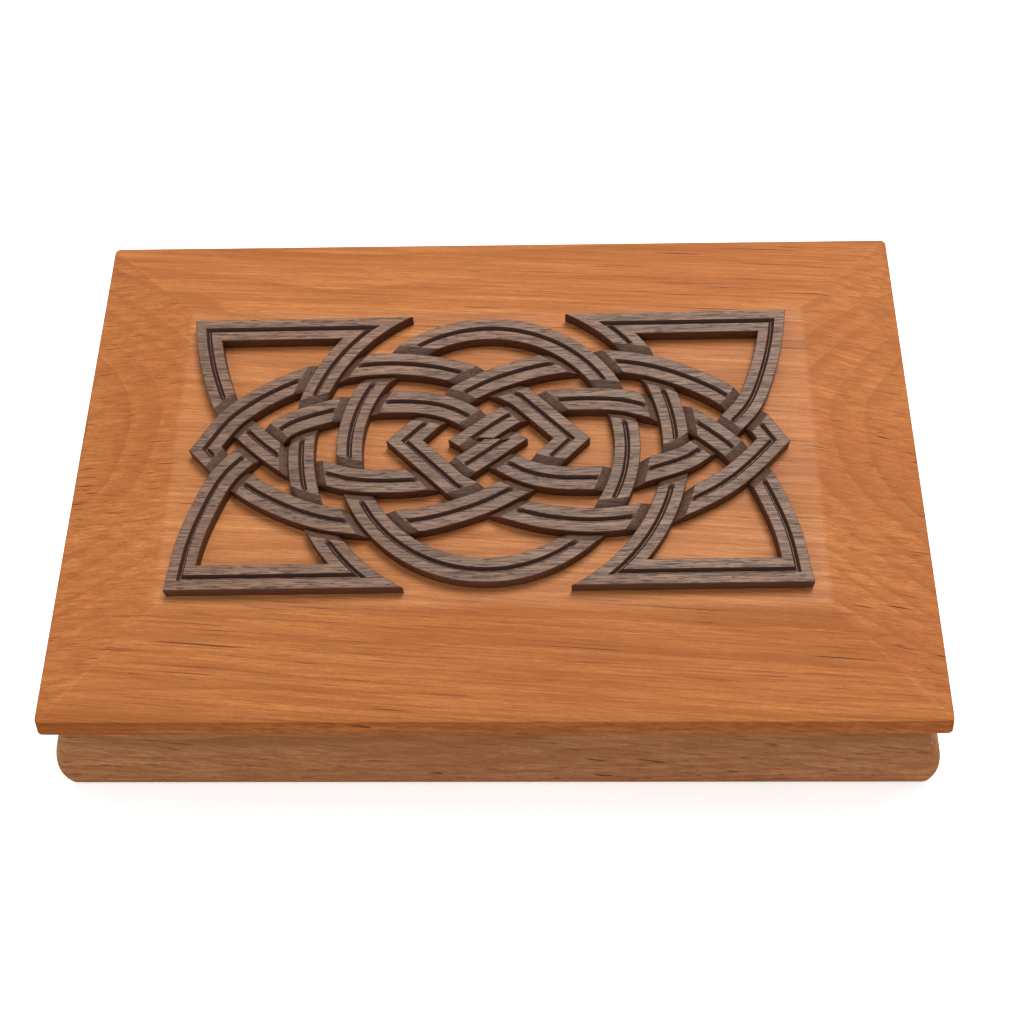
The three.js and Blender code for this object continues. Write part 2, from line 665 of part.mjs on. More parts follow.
function buildKnot() {
  const loops = LOOPS.map(measured);
  // Each frame loop is split in the middle of its straight bars and near its inner vertex.
  loops.forEach((loop) => {
    loop.start = 1.5;
  });
  const crossings = findCrossings(loops);
  const passes = weave(loops, crossings);
  let knot = join(...loops.map(wholeBand));
  passes.forEach((list, i) => list.forEach((pass, k) => {
    if (pass.end.over) {
      return;
    }
    const over = pass.crossing.ends.find((end) => end !== pass.end);
    const before = list[(k + list.length - 1) % list.length].end.at;
    const after = list[(k + 1) % list.length].end.at;
    const gap = (a, b) => (((b - a) % loops[i].total) + loops[i].total) % loops[i].total;
    const wanted = HALF_BAND / pass.crossing.sine + KNOT.ramp;
    const back = Math.min(wanted, gap(before, pass.end.at) - HALF_BAND);
    const forward = Math.min(wanted, gap(pass.end.at, after) - HALF_BAND);
    const trench = bandPiece(
      stretch(loops[i], pass.end.at - back, pass.end.at + forward),
      HALF_BAND + 0.15, KNOT.underTop, 10,
    );
    const reach = HALF_BAND / pass.crossing.sine + 6;
    const upper = bandPiece(
      stretch(loops[over.loop], over.at - reach, over.at + reach), HALF_BAND, -1, 11,
    );
    knot = cut(knot, cut(trench, upper));
  }));
  // The largest body is the ornament: the joins can leave flat slivers without volume.
  const whole = knot.decompose().sort((a, b) => b.volume() - a.volume())[0];
  return whole.rotate([0, 0, KNOT.turn]).translate([KNOT.x, KNOT.y, FIELD_Z + 0.1]);
}

place('knot_overlay', buildKnot(), WALNUT);

export default group;
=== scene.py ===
"""A wooden puzzle box with a bevelled swivel lid and an interlaced walnut knot on top."""
import json
import math

import bpy
import numpy as np
from mathutils import Matrix, Vector


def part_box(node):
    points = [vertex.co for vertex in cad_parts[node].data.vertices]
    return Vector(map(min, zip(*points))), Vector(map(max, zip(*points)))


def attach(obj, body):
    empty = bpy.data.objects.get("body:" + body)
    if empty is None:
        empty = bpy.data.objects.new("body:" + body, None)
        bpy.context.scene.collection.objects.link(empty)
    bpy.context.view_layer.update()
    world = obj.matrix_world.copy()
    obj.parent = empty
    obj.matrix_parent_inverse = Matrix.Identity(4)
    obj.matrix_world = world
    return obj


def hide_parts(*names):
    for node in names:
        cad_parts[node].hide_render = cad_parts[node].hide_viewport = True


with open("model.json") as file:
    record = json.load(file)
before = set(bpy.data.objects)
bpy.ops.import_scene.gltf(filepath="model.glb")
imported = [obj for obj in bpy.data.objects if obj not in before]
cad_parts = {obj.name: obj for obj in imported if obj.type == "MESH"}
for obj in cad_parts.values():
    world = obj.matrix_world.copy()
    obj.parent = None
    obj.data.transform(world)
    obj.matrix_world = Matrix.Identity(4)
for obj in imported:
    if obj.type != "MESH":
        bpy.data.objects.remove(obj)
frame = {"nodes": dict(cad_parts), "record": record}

MM = 0.001
WELD = 0.002                   # mm between points of the CAD's copy that are really one
UPRIGHT = 0.9995               # a face with a steeper normal than this lies level
CAMERA_LENS, CAMERA_FILM = 48.65, 36
CAMERA_PLACE = (14.889, -175.477, 347.99)
CAMERA_DOWN, CAMERA_YAW, CAMERA_ROLL = 62.494, -3.606, 3.570
FLOOR_HALF = 9.0               # metres
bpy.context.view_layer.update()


# ---------------------------------------------------------------- mesh helpers
def box_mm(node):
    """A CAD node's lowest and highest corners."""
    low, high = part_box(node)
    return low / MM, high / MM


def add_mesh(name, points_mm, faces):
    mesh = bpy.data.meshes.new(name)
    mesh.from_pydata([[c * MM for c in p] for p in points_mm], [], faces)
    mesh.validate()
    obj = bpy.data.objects.new(name, mesh)
    bpy.context.scene.collection.objects.link(obj)
    return obj


def rounded_loop(half_x, half_y, corner, z, steps=8):
    """A level rectangle about the Z axis, its corners rounded."""
    points = []
    for k, (sx, sy) in enumerate([(1, 1), (-1, 1), (-1, -1), (1, -1)]):
        for i in range(steps + 1):
            angle = math.radians(90 * (k + i / steps))
            points.append((
                sx * (half_x - corner) + corner * math.cos(angle),
                sy * (half_y - corner) + corner * math.sin(angle), z,
            ))
    return points


def loft(name, loops):
    """A closed solid through loops of equally many points, from the lowest to the highest."""
    count = len(loops[0])
    points = [p for loop in loops for p in loop]
    faces = [list(range(count))[::-1]]
    for k in range(len(loops) - 1):
        for i in range(count):
            j = (i + 1) % count
            a, b = k * count, (k + 1) * count
            faces.append([a + i, a + j, b + j, b + i])
    faces.append([(len(loops) - 1) * count + i for i in range(count)])
    return add_mesh(name, points, faces)


def apply_modifiers(obj):
    """Put the result of the object's modifiers into its mesh."""
    graph = bpy.context.evaluated_depsgraph_get()
    graph.update()
    mesh = bpy.data.meshes.new_from_object(obj.evaluated_get(graph))
    obj.modifiers.clear()
    obj.data = mesh
    return obj


def boolean(obj, tool, operation):
    modifier = obj.modifiers.new("boolean", "BOOLEAN")
    modifier.operation = operation
    modifier.solver = "MANIFOLD"
    if isinstance(tool, bpy.types.Collection):
        modifier.operand_type = "COLLECTION"
        modifier.collection = tool
    else:
        modifier.object = tool
    return apply_modifiers(obj)


def drop(*objects):
    for obj in objects:
        bpy.data.objects.remove(obj, do_unlink=True)


def pockets_of(node, half_x, half_y, z0, z1):
    """What has been cut out of a CAD node, inside a block that covers all its pockets."""
    block = loft("block", [rounded_loop(half_x, half_y, 0.5, z, 1) for z in (z0, z1)])
    source = frame["nodes"][node]
    solid = bpy.data.objects.new("solid", source.data.copy())
    bpy.context.scene.collection.objects.link(solid)
    solid.data.transform(source.matrix_world)
    solid.modifiers.new("weld", "WELD").merge_threshold = WELD * MM
    apply_modifiers(solid)
    boolean(block, solid, "DIFFERENCE")
    drop(solid)
    return block


def shade(obj, degrees=32):
    """Smooth curves, sharp edges, and level faces that stay flat."""
    mesh = obj.data
    inherited = mesh.attributes.get("custom_normal")
    if inherited:
        mesh.attributes.remove(inherited)
    mesh.shade_smooth()
    mesh.set_sharp_from_angle(angle=math.radians(degrees))
    for face in mesh.polygons:
        if abs(face.normal.z) > UPRIGHT:
            face.use_smooth = False


# ---------------------------------------------------------------- materials
def srgb(r, g, b):
    def linear(c):
        c /= 255
        return c / 12.92 if c <= 0.04045 else ((c + 0.055) / 1.055) ** 2.4
    return (linear(r), linear(g), linear(b), 1)


class Graph:
    """A node material. Its point is the place on the object, in millimetres."""

    def __init__(self, name):
        self.material = bpy.data.materials.new(name)
        self.material.use_nodes = True
        self.tree = self.material.node_tree
        self.tree.nodes.clear()
        self.shader = self.tree.nodes.new("ShaderNodeBsdfPrincipled")
        output = self.tree.nodes.new("ShaderNodeOutputMaterial")
        self.tree.links.new(self.shader.outputs[0], output.inputs[0])
        place = self.tree.nodes.new("ShaderNodeTexCoord").outputs["Object"]
        self.point = self.vector("MULTIPLY", place, (1 / MM,) * 3)

    def put(self, socket, value):
        if isinstance(value, bpy.types.NodeSocket):
            self.tree.links.new(value, socket)
        elif value is not None:
            socket.default_value = value

    def math(self, operation, a, b=None, c=None):
        node = self.tree.nodes.new("ShaderNodeMath")
        node.operation = operation
        for socket, value in zip(node.inputs, (a, b, c)):
            self.put(socket, value)
        return node.outputs[0]

    def vector(self, operation, a, b):
        node = self.tree.nodes.new("ShaderNodeVectorMath")
        node.operation = operation
        self.put(node.inputs[0], a)
        self.put(node.inputs[1], b)
        return node.outputs[0]

    def split(self, vector):
        node = self.tree.nodes.new("ShaderNodeSeparateXYZ")
        self.put(node.inputs[0], vector)
        return node.outputs

    def join(self, x, y, z):
        node = self.tree.nodes.new("ShaderNodeCombineXYZ")
        for socket, value in zip(node.inputs, (x, y, z)):
            self.put(socket, value)
        return node.outputs[0]

    def noise(self, scale, detail=2.0, rough=0.5, shift=(0, 0, 0), vector=None):
        node = self.tree.nodes.new("ShaderNodeTexNoise")
        place = self.vector("MULTIPLY", vector or self.point, scale)
        self.put(node.inputs["Vector"], self.vector("ADD", place, shift))
        node.inputs["Scale"].default_value = 1
        node.inputs["Detail"].default_value = detail
        node.inputs["Roughness"].default_value = rough
        return node.outputs[0]

    def step(self, value, low, high, to_low=0.0, to_high=1.0):
        node = self.tree.nodes.new("ShaderNodeMapRange")
        node.interpolation_type = "SMOOTHSTEP"
        for socket, v in zip(node.inputs, (value, low, high, to_low, to_high)):
            self.put(socket, v)
        return node.outputs[0]

    def mix(self, factor, a, b, blend="MIX"):
        node = self.tree.nodes.new("ShaderNodeMix")
        node.data_type = "RGBA"
        node.blend_type = blend
        self.put(node.inputs["Factor"], factor)
        self.put(node.inputs["A"], a)
        self.put(node.inputs["B"], b)
        return node.outputs["Result"]

    def bump(self, height, strength, distance_mm):
        node = self.tree.nodes.new("ShaderNodeBump")
        node.inputs["Strength"].default_value = strength
        node.inputs["Distance"].default_value = distance_mm * MM
        self.put(node.inputs["Height"], height)
        self.put(self.shader.inputs["Normal"], node.outputs[0])

    def facing_up(self):
        node = self.tree.nodes.new("ShaderNodeNewGeometry")
        return self.split(node.outputs["Normal"])[2]

    def finish(self, color, roughness, **sockets):
        self.put(self.shader.inputs["Base Color"], color)
        self.put(self.shader.inputs["Roughness"], roughness)
        for name, value in sockets.items():
            self.put(self.shader.inputs[name.replace("_", " ")], value)
        return self.material


def grown_wood(name, light, dark, rosy, pore, side, pith, ring, contrast, flecks, seed):
    """Plain-sawn board, its fibres along X, with growth rings round a pith under the board."""
    g = Graph(name)
    x, y, z = g.split(g.point)
    wave = g.noise((0.007, 0.018, 0.018), 2, 0.45, (seed, 0, 0))
    wave2 = g.noise((0.011, 0.03, 0.03), 2, 0.4, (0, seed, 3))
    lift = g.math("MULTIPLY", g.math("SUBTRACT", wave, 0.5), 14)
    across = g.math("ADD", g.math("ADD", g.math("SUBTRACT", y, pith[0]),
                                  g.math("MULTIPLY", x, 0.03)), lift)
    depth = g.math("ADD", g.math("SUBTRACT", z, pith[1]),
                   g.math("MULTIPLY", g.math("SUBTRACT", wave2, 0.5), 2.5))
    radius = g.math("SQRT", g.math("ADD", g.math("MULTIPLY", across, across),
                                   g.math("MULTIPLY", depth, depth)))
    uneven = g.noise((0.35, 0.35, 0.35), 1, 0.5, (seed, 7, 0),
                     g.join(radius, 0.0, 0.0))
    phase = g.math("FRACT", g.math("ADD", g.math("DIVIDE", radius, ring),
                                   g.math("MULTIPLY", uneven, 1.6)))
    late = g.math("MULTIPLY", g.step(phase, 0.25, 0.93), g.step(phase, 0.93, 1.0, 1.0, 0.0))
    faint = g.noise((0.02, 0.05, 0.05), 2, 0.5, (seed, 1, 5))
    late = g.math("MULTIPLY", late, g.step(faint, 0.3, 0.68, 0.25, 1.0))

    color = g.mix(g.step(g.noise((0.012, 0.03, 0.03), 3, 0.5, (2, seed, 0)), 0.3, 0.72),
                  light, rosy)
    color = g.mix(g.math("MULTIPLY", late, contrast), color, dark)
    slope = g.join(x, g.math("ADD", y, g.math("MULTIPLY", x, 0.07)), z)
    bands = g.noise((0.02, 0.55, 0.55), 3, 0.6, (seed, 0, 9), slope)
    color = g.mix(g.step(bands, 0.32, 0.7, 0.0, 0.5), color, dark)
    fibre = g.noise((0.3, 7.0, 2.4), 2, 0.6, (0, seed, 0), slope)
    color = g.mix(g.step(fibre, 0.38, 0.7, 0.0, 0.6), color, dark)
    threads = g.noise((0.03, 2.4, 0.7), 2, 0.6, (seed, 2, 8), slope)
    color = g.mix(g.step(threads, 0.42, 0.66, 0.0, 0.6), color, dark)
    ray = g.noise((1.4, 2.6, 2.6), 2, 0.55, (seed, seed, 0))
    color = g.mix(g.step(ray, 0.35, 0.7, 0.0, 0.12), color, pore)
    # Painted light and shade by facing: upright faces take the side tint (on the lid darker,
    # partly edge grain and partly painted shade; on the base greyer, painted light), and level
    # faces a paler, bluer painted light.
    up = g.facing_up()
    side_colour_and_painted_shading = g.mix(1.0, color, (*side, 1), "MULTIPLY")
    color = g.mix(g.step(up, 0.25, 0.9, 1.0, 0.0), color, side_colour_and_painted_shading)
    painted_level_light = g.mix(1.0, color, (1.12, 1.24, 1.5, 1), "MULTIPLY")
    color = g.mix(g.step(up, 0.976, 0.996), color, painted_level_light)

    # Open pores: dark dashes along the fibres, in some parts of the board only.
    dashes = g.noise((0.036, 2.3, 0.5), 1, 0.4, (seed, 4, 4), slope)
    fine = g.noise((0.09, 3.6, 0.9), 1, 0.4, (3, seed, 4), slope)
    where = g.noise((0.012, 0.028, 0.028), 1, 0.5, (9, seed, 1))
    dash = g.math("MULTIPLY", g.step(dashes, 0.66, 0.76),
                  g.step(where, 0.38, 0.62, flecks * 0.25, flecks))
    speck = g.math("MULTIPLY", g.step(fine, 0.66, 0.78), flecks * 0.55)
    dash = g.math("MAXIMUM", dash, speck)
    color = g.mix(dash, color, pore)

    height = g.math("SUBTRACT", g.math("MULTIPLY", fibre, 0.35), dash)
    g.bump(height, 0.3, 0.05)
    rough = g.step(bands, 0.2, 0.8, 0.44, 0.56)
    gloss = g.step(up, 0.3, 0.9, 0.0, 0.1)
    return g.finish(color, rough, Specular_IOR_Level=gloss)


def walnut_wood(name):
    """Carved walnut: sanded grey-brown top; walls and grooves darker, from cut colour and
    painted shade.
    """
    g = Graph(name)
    x, y, z = g.split(g.point)
    slope = g.join(x, g.math("ADD", y, g.math("MULTIPLY", x, -0.012)), z)
    streaks = g.noise((0.03, 0.8, 0.8), 3, 0.6, (1, 5, 0), slope)
    fibre = g.noise((0.17, 3.2, 3.2), 3, 0.6, (6, 2, 0), slope)
    pores = g.noise((0.34, 2.4, 2.4), 1, 0.4, (2, 8, 3), slope)
    broad = g.noise((0.02, 0.03, 0.03), 2, 0.5, (4, 4, 0))

    ticks = g.noise((0.26, 3.6, 3.6), 2, 0.5, (5, 1, 7), slope)
    top = g.mix(g.step(broad, 0.32, 0.68), srgb(128, 93, 71), srgb(112, 87, 71))
    top = g.mix(g.step(streaks, 0.32, 0.7, 0.0, 0.7), top, srgb(70, 48, 36))
    top = g.mix(g.step(fibre, 0.44, 0.62, 0.0, 0.85), top, srgb(56, 36, 26))
    top = g.mix(g.step(ticks, 0.46, 0.66, 0.0, 0.3), top, srgb(134, 102, 80))
    pore = g.step(pores, 0.6, 0.72)
    top = g.mix(g.math("MULTIPLY", pore, 0.75), top, srgb(36, 22, 15))

    # Painted shade by facing: steep walls take the cut colour, partly the cut wood's own darker
    # tone and partly painted shade; groove slopes take a flat dark brown and ramps are partly
    # darkened, both painted shade.
    up = g.facing_up()
    cut = g.mix(g.step(fibre, 0.35, 0.7), srgb(86, 46, 22), srgb(52, 27, 13))
    cut = g.mix(g.step(up, 0.15, 0.42), cut, srgb(56, 32, 22))
    flat = g.step(up, 0.7, 0.985)
    color = g.mix(flat, cut, top)
    g.bump(g.math("SUBTRACT", g.math("MULTIPLY", fibre, -0.5), pore), 0.45, 0.08)
    rough = g.step(fibre, 0.3, 0.7, 0.5, 0.64)
    return g.finish(color, rough, Specular_IOR_Level=0.3)


def plain_wood(name, light, dark, pore, seed):
    """Maple and birch: pale and close-grained."""
    g = Graph(name)
    wide = g.noise((0.02, 0.25, 0.25), 3, 0.55, (seed, 0, 2))
    fibre = g.noise((0.25, 6.0, 6.0), 2, 0.6, (0, seed, 0))
    fleck = g.noise((0.5, 2.6, 2.6), 1, 0.4, (seed, 3, 1))
    color = g.mix(g.step(wide, 0.3, 0.7), light, dark)
    color = g.mix(g.step(fibre, 0.4, 0.75, 0.0, 0.35), color, pore)
    color = g.mix(g.step(fleck, 0.64, 0.76, 0.0, 0.5), color, pore)
    g.bump(fibre, 0.25, 0.04)
    return g.finish(color, g.step(wide, 0.2, 0.8, 0.45, 0.58), Specular_IOR_Level=0.4)


def metal(name, bright, dull, roughness, scale, seed):
    g = Graph(name)
    lines = g.noise(scale, 3, 0.6, (seed, 0, 0))
    cloud = g.noise((0.3, 0.3, 0.3), 3, 0.55, (0, seed, 0))
    color = g.mix(g.step(cloud, 0.3, 0.7), bright, dull)
    g.bump(lines, 0.12, 0.02)
    rough = g.math("ADD", g.step(lines, 0.3, 0.7, 0.0, 0.14), roughness)
    return g.finish(color, rough, Metallic=1.0)


def felt_cloth(name):
    g = Graph(name)
    fuzz = g.noise((1.8, 1.8, 1.8), 4, 0.7, (1, 1, 1))
    fine = g.noise((7, 7, 7), 2, 0.6, (3, 2, 1))
    wear = g.noise((0.05, 0.05, 0.05), 3, 0.5, (5, 0, 0))
    color = g.mix(g.step(fuzz, 0.3, 0.7), srgb(52, 36, 30), srgb(84, 62, 52))
    color = g.mix(g.step(wear, 0.35, 0.7, 0.0, 0.3), color, srgb(98, 74, 62))
    g.bump(g.math("ADD", fuzz, g.math("MULTIPLY", fine, 0.5)), 0.7, 0.25)
    return g.finish(color, 0.95, Sheen_Weight=0.3, Sheen_Roughness=0.5,
                    Specular_IOR_Level=0.15)


# The tuple after the pore colour tints upright faces: on the lid darker, partly edge grain and
# partly painted shade; on the base greyer, painted light.
LOOKS = {
    "lid_wood": grown_wood(
        "lid_wood", srgb(176, 113, 62), srgb(132, 74, 34), srgb(166, 100, 54),
        srgb(72, 36, 17), (0.8, 0.75, 0.8), (8, -58), 2.3, 0.62, 0.95, 3.7),
    "base_wood": grown_wood(
        "base_wood", srgb(162, 108, 63), srgb(122, 72, 37), srgb(150, 94, 53),
        srgb(70, 38, 18), (1.0, 1.14, 1.6), (-12, -30), 1.9, 0.7, 0.8, 11.3),
    "walnut": walnut_wood("walnut"),
    "maple": plain_wood("maple", srgb(222, 190, 146), srgb(204, 166, 118),
                        srgb(150, 108, 70), 2.0),
    "birch_ply": plain_wood("birch_ply", srgb(214, 184, 146), srgb(198, 162, 122),
                            srgb(150, 112, 80), 6.0),
    "brass": metal("brass", srgb(196, 160, 92), srgb(170, 132, 70), 0.26, (6, 6, 6), 1.0),
    "steel": metal("steel", srgb(176, 178, 182), srgb(148, 150, 154), 0.24, (5, 5, 9), 2.0),
    "zinc_screw": metal("zinc_screw", srgb(190, 188, 182), srgb(162, 158, 148), 0.32,
                        (9, 2, 9), 3.0),
    "magnet": metal("magnet", srgb(196, 198, 202), srgb(176, 178, 184), 0.14, (4, 4, 4), 4.0),
    "felt": felt_cloth("felt"),
}


def dress(obj, slot):
    obj.data.materials.clear()
    obj.data.materials.append(LOOKS[slot])


# ---------------------------------------------------------------- lid board
def lid_board():
    low, high = box_mm("lid_panel")
    edge, bevel, rise = 6.4, 27, 6.3  # the edge's height, the bevel's width and its rise
    wide, narrow, narrowing = 1.4, 0.2, 20  # corner radius at the arris, and on the bevel
    arris_x, arris_y, arris_z = high.x - 1, high.y - 1, low.z + edge
    profile = [  # how far in from the arris, and the height
        (-0.35, low.z), (-0.9, low.z + 0.5), (-0.94, low.z + 0.75),
        (-0.1, arris_z - 0.65), (0.0, arris_z - 0.3), (0.13, arris_z - 0.08),
        (0.4, arris_z + 0.06), (0.8, arris_z + 0.185),
    ]
    slope = rise / bevel
    for k in range(1, 9):
        inward = 0.8 + (bevel - 1.8) * k / 8
        profile.append((inward, arris_z + inward * slope))
    profile += [(bevel - 0.3, high.z - 0.1), (bevel + 0.3, high.z - 0.02),
                (bevel + 1.2, high.z), (bevel + 2.4, high.z)]
    loops = []
    for inward, z in profile:
        corner = wide - (wide - narrow) * min(1, max(0, inward) / narrowing)
        loops.append(rounded_loop(arris_x - inward, arris_y - inward, corner, z, 6))
    lid = loft("lid_board", loops)
    pockets = pockets_of("lid_panel", high.x - 5, high.y - 5, low.z - 2, arris_z - 0.2)
    boolean(lid, pockets, "DIFFERENCE")
    drop(pockets)
    shade(lid, 24)
    dress(lid, "lid_wood")
    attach(lid, "lid")
    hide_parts("lid_panel")


# ---------------------------------------------------------------- base
def base_block():
    low, high = box_mm("base_body")
    belly, neck, belly_z = 3.5, 6.4, 5.0  # how far the side swells and falls in, and where
    arris_x, arris_y = high.x - belly, high.y - belly

    def offset(z):
        """How far outside the arris the side lies at a height."""
        return belly - (belly + neck) * ((z - belly_z) / (high.z - belly_z)) ** 2

    levels = [(0, offset(0) - 1.2), (0.12, offset(0.1) - 0.75), (0.4, offset(0.4) - 0.36),
              (0.8, offset(0.8) - 0.1), (1.2, offset(1.2))]
    heights = np.linspace(1.2, high.z - 0.6, 30)[1:]
    levels += [(z, offset(z)) for z in heights]
    levels += [(high.z - 0.22, offset(high.z - 0.25) - 0.12),
               (high.z, offset(high.z) - 0.5)]
    loops = [rounded_loop(arris_x + out, arris_y + out, 3, z, 10) for z, out in levels]
    base = loft("base_block", loops)
    half_x, half_y = arris_x - neck - 1.5, arris_y - neck - 1.5
    pockets = pockets_of("base_body", half_x, half_y, low.z - 2, high.z + 2)
    boolean(base, pockets, "DIFFERENCE")
    drop(pockets)
    shade(base, 32)
    dress(base, "base_wood")
    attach(base, "base")
    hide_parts("base_body")


# ---------------------------------------------------------------- knot
KNOT_X, KNOT_Y, KNOT_TURN = -1.1, -0.3, 0.55
BAND = 6.6
HALF = BAND / 2
THICK = 3.4
LOW = 1.65          # height of a band where another crosses over it
RAMP = 2.35
RING_RADIUS = 34.9
CORNER = (74.0, 35.9)
PAREN_RADIUS, PAREN_X = 47.6, 0.6
AXIS = 1.3          # the inner figures lie this far behind the knot's centre
FRAME_PATH = [
    (4.4, 0), (-4.5, 6.5), (-10.8, 9.8), (-18, 11.3), (-27, 11.5), (-34, 10.9), (-39.1, 9.5),
    (-48.8, 6.3), (-54, 2.8), (-60.1, -2.6), (-66.4, -9.9), (-70.6, -20.1), (-72.9, -28.5),
]
ALMOND_TIP = (-71.3, -1.4)
ALMOND_PATH = [
    (-66, 6.9), (-60.5, 11.8), (-54.5, 15.7), (-46, 19.7), (-37, 22.2),
    (-26, 23.2), (-16, 22.3), (-8, 20.3), (0, 17.3), (8, 12.9),
]
ALMOND_VERTEX = (21, 0)
FINE = 0.6          # steps of the centrelines
TRACE = 0.15        # steps of the section's lines
STATION = 1.3       # stations along a level stretch of band
TUCK = 1.2          # how far a band's end runs on under its neighbour


def walked(path):
    """The length from a path's start up to each of its points."""
    return np.r_[0, np.cumsum(np.hypot(*np.diff(path, axis=0).T))]


def spline(points):
    """Catmull-Rom curve through the points, at even steps."""
    p = np.array(points, float)
    dense = []
    for i in range(len(p) - 1):
        a, b, c, d = p[max(i - 1, 0)], p[i], p[i + 1], p[min(i + 2, len(p) - 1)]
        v0, v1 = (c - a) / 2, (d - b) / 2
        for t in np.arange(0, 1, 1 / 40):
            dense.append((2 * b - 2 * c + v0 + v1) * t ** 3
                         + (3 * c - 3 * b - 2 * v0 - v1) * t ** 2 + v0 * t + b)
    dense.append(p[-1])
    return even(np.array(dense), FINE)


def even(path, step):
    """The path again, in equal steps of about this length."""
    lengths = walked(path)
    count = max(2, round(lengths[-1] / step) + 1)
    at = np.linspace(0, lengths[-1], count)
    return np.stack([np.interp(at, lengths, path[:, k]) for k in (0, 1)], 1)


def frame_branches():
    upper = spline([*FRAME_PATH, (-CORNER[0], -CORNER[1] - AXIS)]) + (0, AXIS)
    lower = spline([*FRAME_PATH, (-CORNER[0], AXIS - CORNER[1])]) * (1, -1) + (0, AXIS)
    reach = math.asin(CORNER[1] / PAREN_RADIUS)
    angle = np.linspace(reach, -reach, round(2 * reach * PAREN_RADIUS / FINE))
    arc = np.stack([PAREN_X - PAREN_RADIUS * np.cos(angle), -PAREN_RADIUS * np.sin(angle)], 1)
    return [arc, even(np.array([arc[-1], lower[-1]]), FINE), lower[::-1], upper,
            even(np.array([upper[-1], arc[0]]), FINE)]


def almond_branches():
    run = even(np.array([ALMOND_PATH[-1], ALMOND_VERTEX], float), FINE)[1:]
    x, y = ALMOND_TIP
    back = np.vstack([spline([(x, y), *ALMOND_PATH]), run])
    front = np.vstack([spline([(x, -y), *ALMOND_PATH]), run]) * (1, -1)
    return [back + (0, AXIS), front[::-1] + (0, AXIS)]


def ring_branches():
    angle = np.linspace(0, 2 * math.pi, round(2 * math.pi * RING_RADIUS / FINE))
    angle += math.pi / 48
    return [RING_RADIUS * np.stack([np.cos(angle), np.sin(angle)], 1)]


class Loop:
    """A closed band's centreline: branches that meet in corners."""

    def __init__(self, branches, mirrored=False):
        self.branches = [b * (-1, 1) if mirrored else b for b in branches]
        self.lengths = []
        total = 0.0
        for b in self.branches:
            self.lengths.append(total + walked(b))
            total = self.lengths[-1][-1]
        self.total = total
        self.normals = []
        for b in self.branches:
            tangent = np.gradient(b, axis=0)
            if len(self.branches) == 1:  # the ring closes smoothly
                tangent[0] = tangent[-1] = b[1] - b[-2]
            tangent /= np.hypot(*tangent.T)[:, None]
            self.normals.append(np.stack([-tangent[:, 1], tangent[:, 0]], 1))

    def path(self):
        """All the points once, and the length up to each."""
        points = np.vstack([b[:-1] for b in self.branches])
        lengths = np.concatenate([s[:-1] for s in self.lengths])
        return points, lengths

    def at(self, length):
        points, lengths = self.path()
        points, lengths = np.vstack([points, points[:1]]), np.r_[lengths, self.total]
        length = length % self.total
        return np.array([np.interp(length, lengths, points[:, k]) for k in (0, 1)])

    def centre(self, low, high):
        return np.array([self.at(s) for s in np.arange(low, high, FINE)])

    def side(self, low, high, shift):
        """The band's line at a sideways shift, in stretches from corner to corner."""
        parts = []
        for turn in (-1, 0, 1, 2):
            for k, branch in enumerate(self.branches):
                s = self.lengths[k] + turn * self.total
                if s[-1] <= low + 1e-6 or s[0] >= high - 1e-6:
                    continue
                inside = (s > low) & (s < high)
                at = np.unique(np.r_[s[inside], max(low, s[0]), min(high, s[-1])])
                p = np.stack([np.interp(at, s, branch[:, i]) for i in (0, 1)], 1)
                n = np.stack([np.interp(at, s, self.normals[k][:, i]) for i in (0, 1)], 1)
                parts.append((p, n))
        lines = [p + shift * n for p, n in parts]
        for i in range(len(parts) - 1):
            corner = parts[i][0][-1]
            first, second = run_on(lines[i]), run_on(lines[i + 1][::-1])[::-1]
            m, n, joint = meeting(first, second, corner)
            lines[i] = np.vstack([first[:m + 1], joint])
            lines[i + 1] = np.vstack([joint, second[n + 1:]])
        return lines


def run_on(line, length=16):
    """The line carried on beyond its end with the same bend."""
    line = even(line, 0.5)
    step = np.diff(line[-8:], axis=0)
    angles = np.unwrap(np.arctan2(step[:, 1], step[:, 0]))
    size = np.hypot(*step[-1])
    turn = (angles[-1] - angles[0]) / max(1, len(angles) - 1)
    heading = angles[-1] + turn * np.arange(1, int(length / size) + 1)
    steps = size * np.stack([np.cos(heading), np.sin(heading)], 1)
    return np.vstack([line, line[-1] + np.cumsum(steps, axis=0)])


def hits_between(a, b, c, d, parallel, slack=0.0):
    """Where the steps from a to b cross the steps from c to d.

    Gives the cross products, how far along each step, and the pairs of steps that cross.
    """
    u, v = (b - a)[:, None], (d - c)[None]
    w = c[None] - a[:, None]
    cross = u[..., 0] * v[..., 1] - u[..., 1] * v[..., 0]
    real = np.abs(cross) > parallel
    cross = np.where(real, cross, 1.0)
    s = (w[..., 0] * v[..., 1] - w[..., 1] * v[..., 0]) / cross
    t = (w[..., 0] * u[..., 1] - w[..., 1] * u[..., 0]) / cross
    hit = real & (s >= -slack) & (s < 1) & (t >= -slack) & (t < 1)
    return cross, s, t, np.argwhere(hit)


def meeting(first, second, corner):
    """Where two lines cross nearest to a corner: the two steps and the point."""
    cross, s, t, hits = hits_between(first[:-1], first[1:], second[:-1], second[1:], 1e-9, 1e-6)
    places = [first[m] + s[m, n] * (first[m + 1] - first[m]) for m, n in hits]
    best = int(np.argmin([np.hypot(*(p - corner)) for p in places]))
    return hits[best][0], hits[best][1], places[best]


